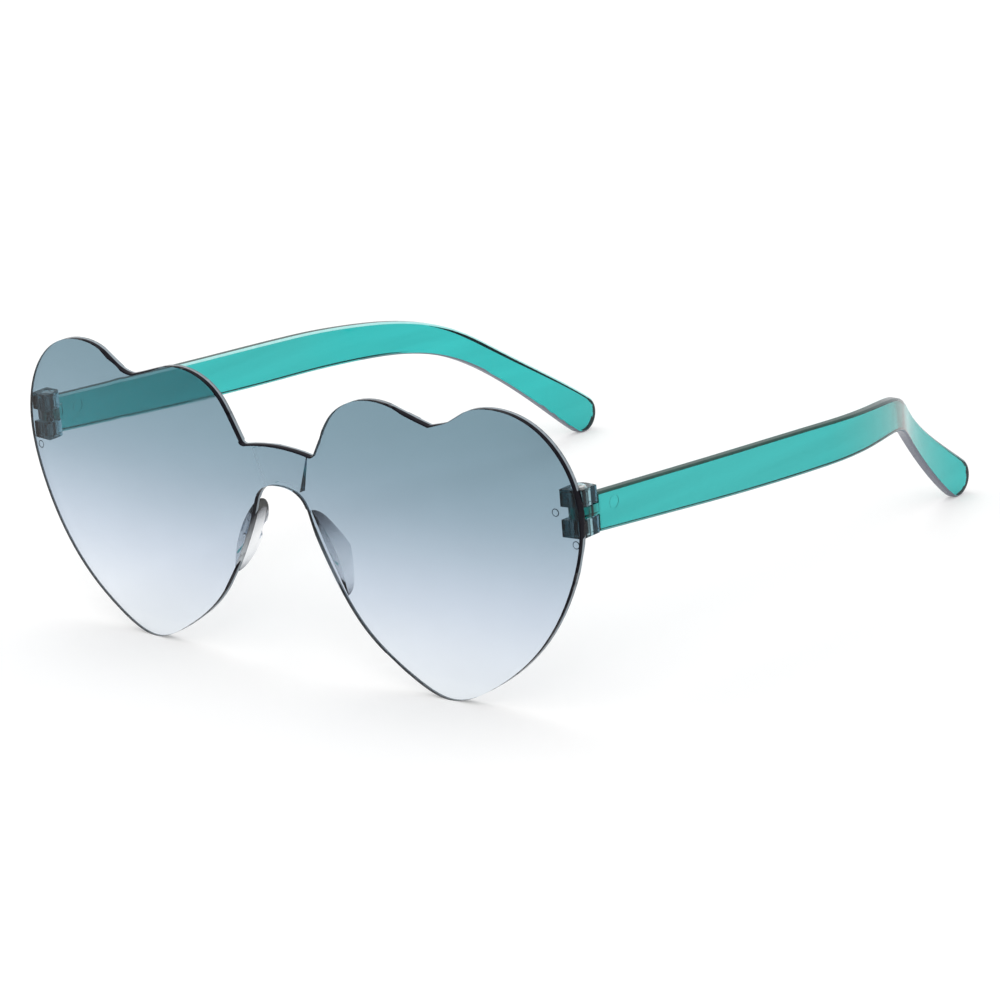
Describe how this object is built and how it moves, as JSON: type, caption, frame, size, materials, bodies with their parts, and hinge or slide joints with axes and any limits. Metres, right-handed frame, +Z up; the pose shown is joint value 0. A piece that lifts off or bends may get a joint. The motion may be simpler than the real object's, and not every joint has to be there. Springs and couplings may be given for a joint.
{
  "type": "sunglasses",
  "caption": "Rimless heart shaped sunglasses with a one piece gradient tinted front, moulded nose pads and folding translucent teal temples",
  "frame": {"origin": "centre of the bounding box in plan, on the floor that the heart tips and temple tips stand on", "axes": "+X to the wearer's left, +Y backwards along the open temples, +Z up"},
  "size_m": [0.1442, 0.1538, 0.0595],
  "materials": {
    "tinted_lens": "clear polycarbonate, grey blue tint that fades downwards",
    "smoke_pad": "smoky translucent polycarbonate",
    "smoke_ear": "dark smoky translucent polycarbonate",
    "screw_steel": "turned steel with a slotted head",
    "teal_temple": "translucent teal polycarbonate"
  },
  "bodies": {
    "front": {"lens_front": "tinted_lens", "nose_pad_left": "smoke_pad", "nose_pad_right": "smoke_pad", "hinge_ear_upper_left": "smoke_ear", "hinge_ear_upper_right": "smoke_ear", "hinge_ear_lower_left": "smoke_ear", "hinge_ear_lower_right": "smoke_ear", "hinge_screw_left": "screw_steel", "hinge_screw_right": "screw_steel"},
    "temple_left": {"temple_left": "teal_temple"},
    "temple_right": {"temple_right": "teal_temple"}
  },
  "joints": [
    {"name": "hinge_left", "type": "hinge", "parent": "front", "child": "temple_left", "pos_m": [0.0694, -0.06853, 0.0407], "axis": [0, 0, 1], "range_deg": [0, 82]},
    {"name": "hinge_right", "type": "hinge", "parent": "front", "child": "temple_right", "pos_m": [-0.0694, -0.06853, 0.0407], "axis": [0, 0, -1], "range_deg": [0, 70]}
  ]
}
